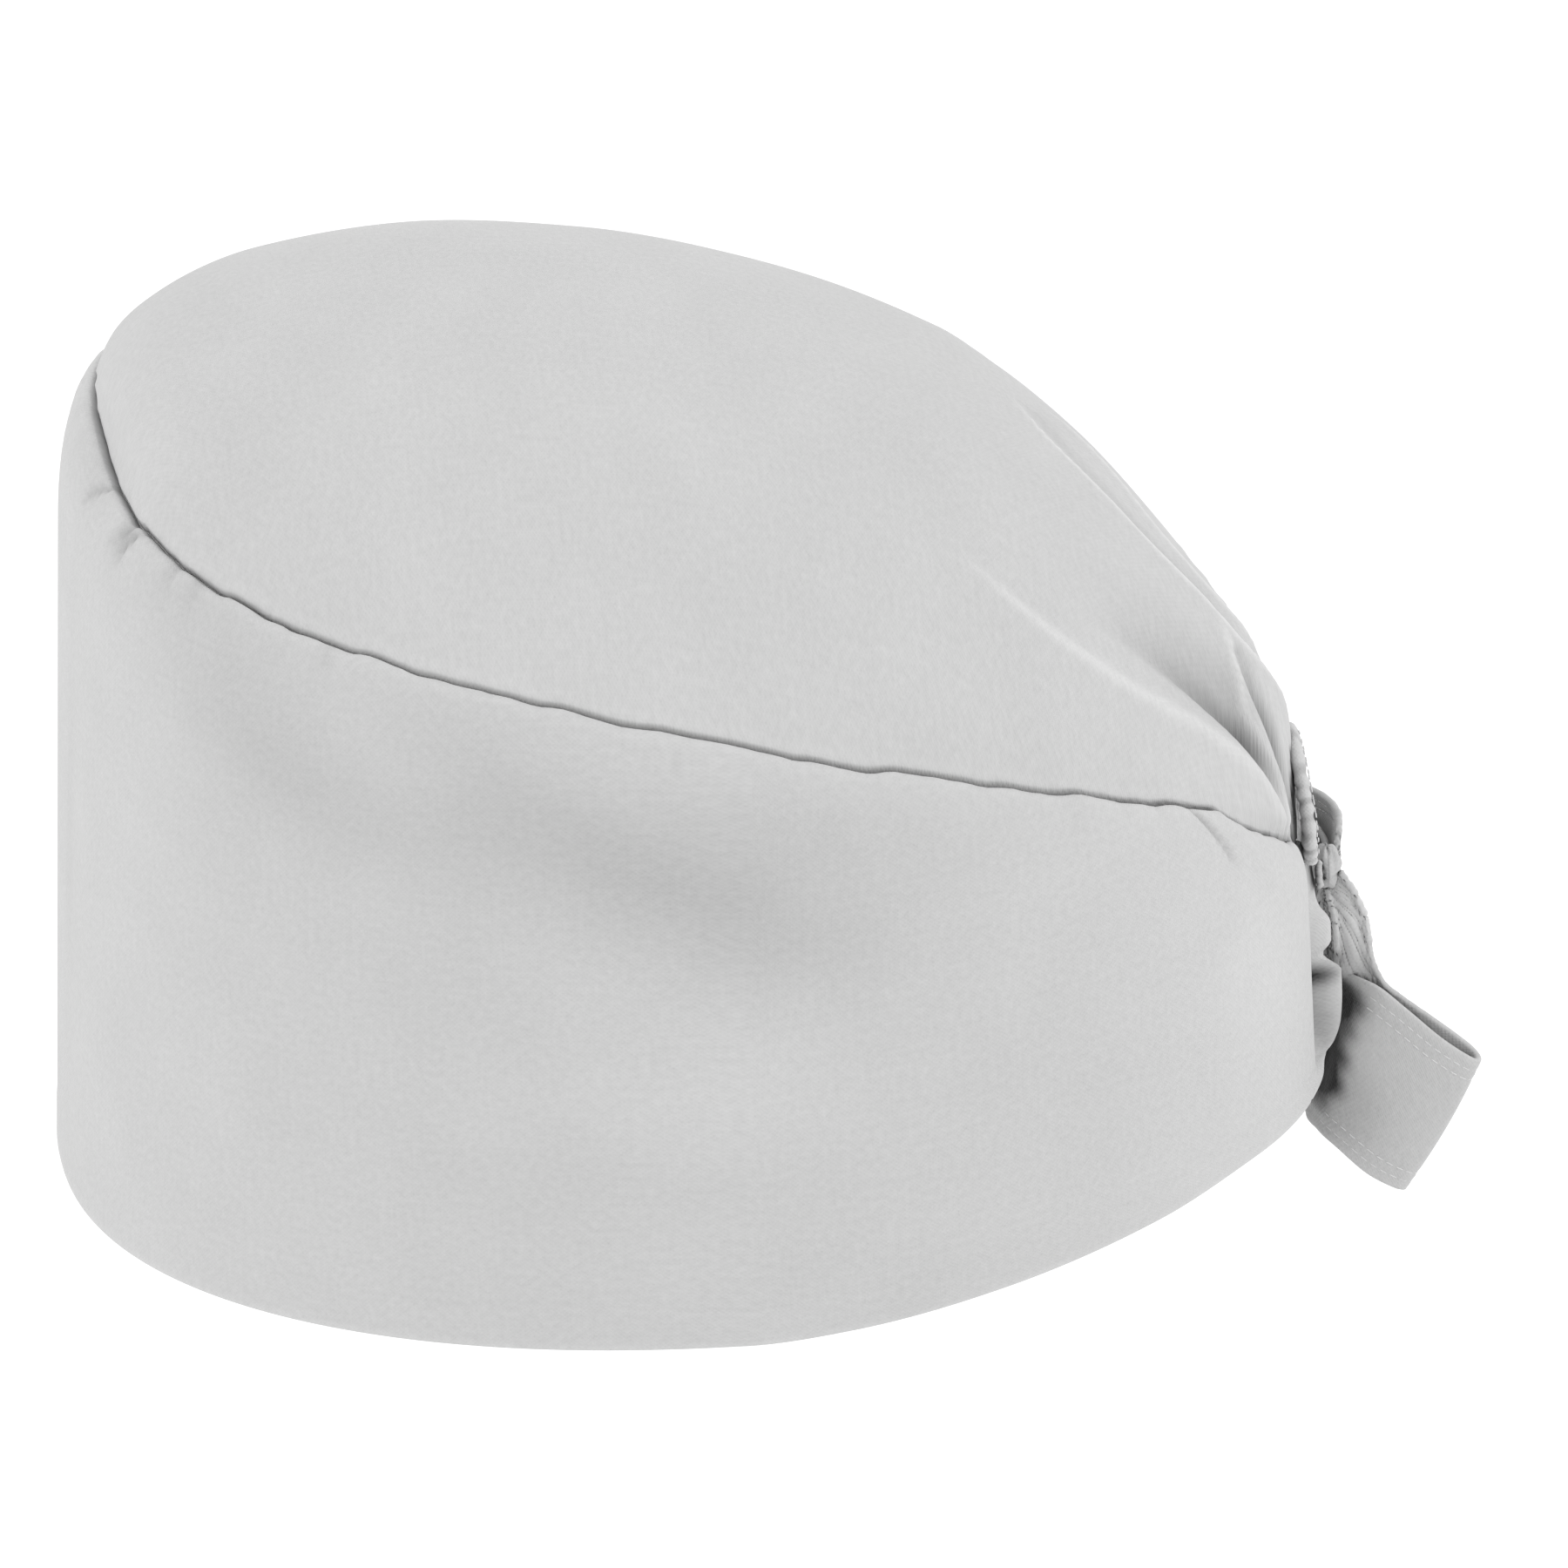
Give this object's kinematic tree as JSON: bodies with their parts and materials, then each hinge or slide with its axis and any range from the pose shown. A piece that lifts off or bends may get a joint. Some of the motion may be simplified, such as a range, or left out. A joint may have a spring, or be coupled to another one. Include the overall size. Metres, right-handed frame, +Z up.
{
  "type": "scrub cap",
  "caption": "Tie-back cloth cap in its worn form: a deep side band, a seamed oval crown gathered into a ruffled casing at the back, and a flat ribbon tied in a bow.",
  "frame": {"origin": "middle of the rim's opening, where a head goes in, level with the front of the rim", "axes": "+Z up through the crown, -Y towards the forehead, +Y towards the back of the head where the bow is, +X towards the wearer's left"},
  "size_m": [0.1809, 0.261, 0.1915],
  "materials": {
    "cap_cloth": "matt light grey plain-weave cotton",
    "tie_cloth": "matt light grey plain-weave cotton, doubled and topstitched"
  },
  "bodies": {
    "root": {"side_band": "cap_cloth", "crown": "cap_cloth", "back_casing": "cap_cloth", "tie_knot": "tie_cloth", "tie_left": "tie_cloth", "tie_right": "tie_cloth", "bow_loop_left": "tie_cloth", "bow_loop_right": "tie_cloth", "tie_tail_left": "tie_cloth", "tie_tail_right": "tie_cloth"}
  },
  "joints": []
}
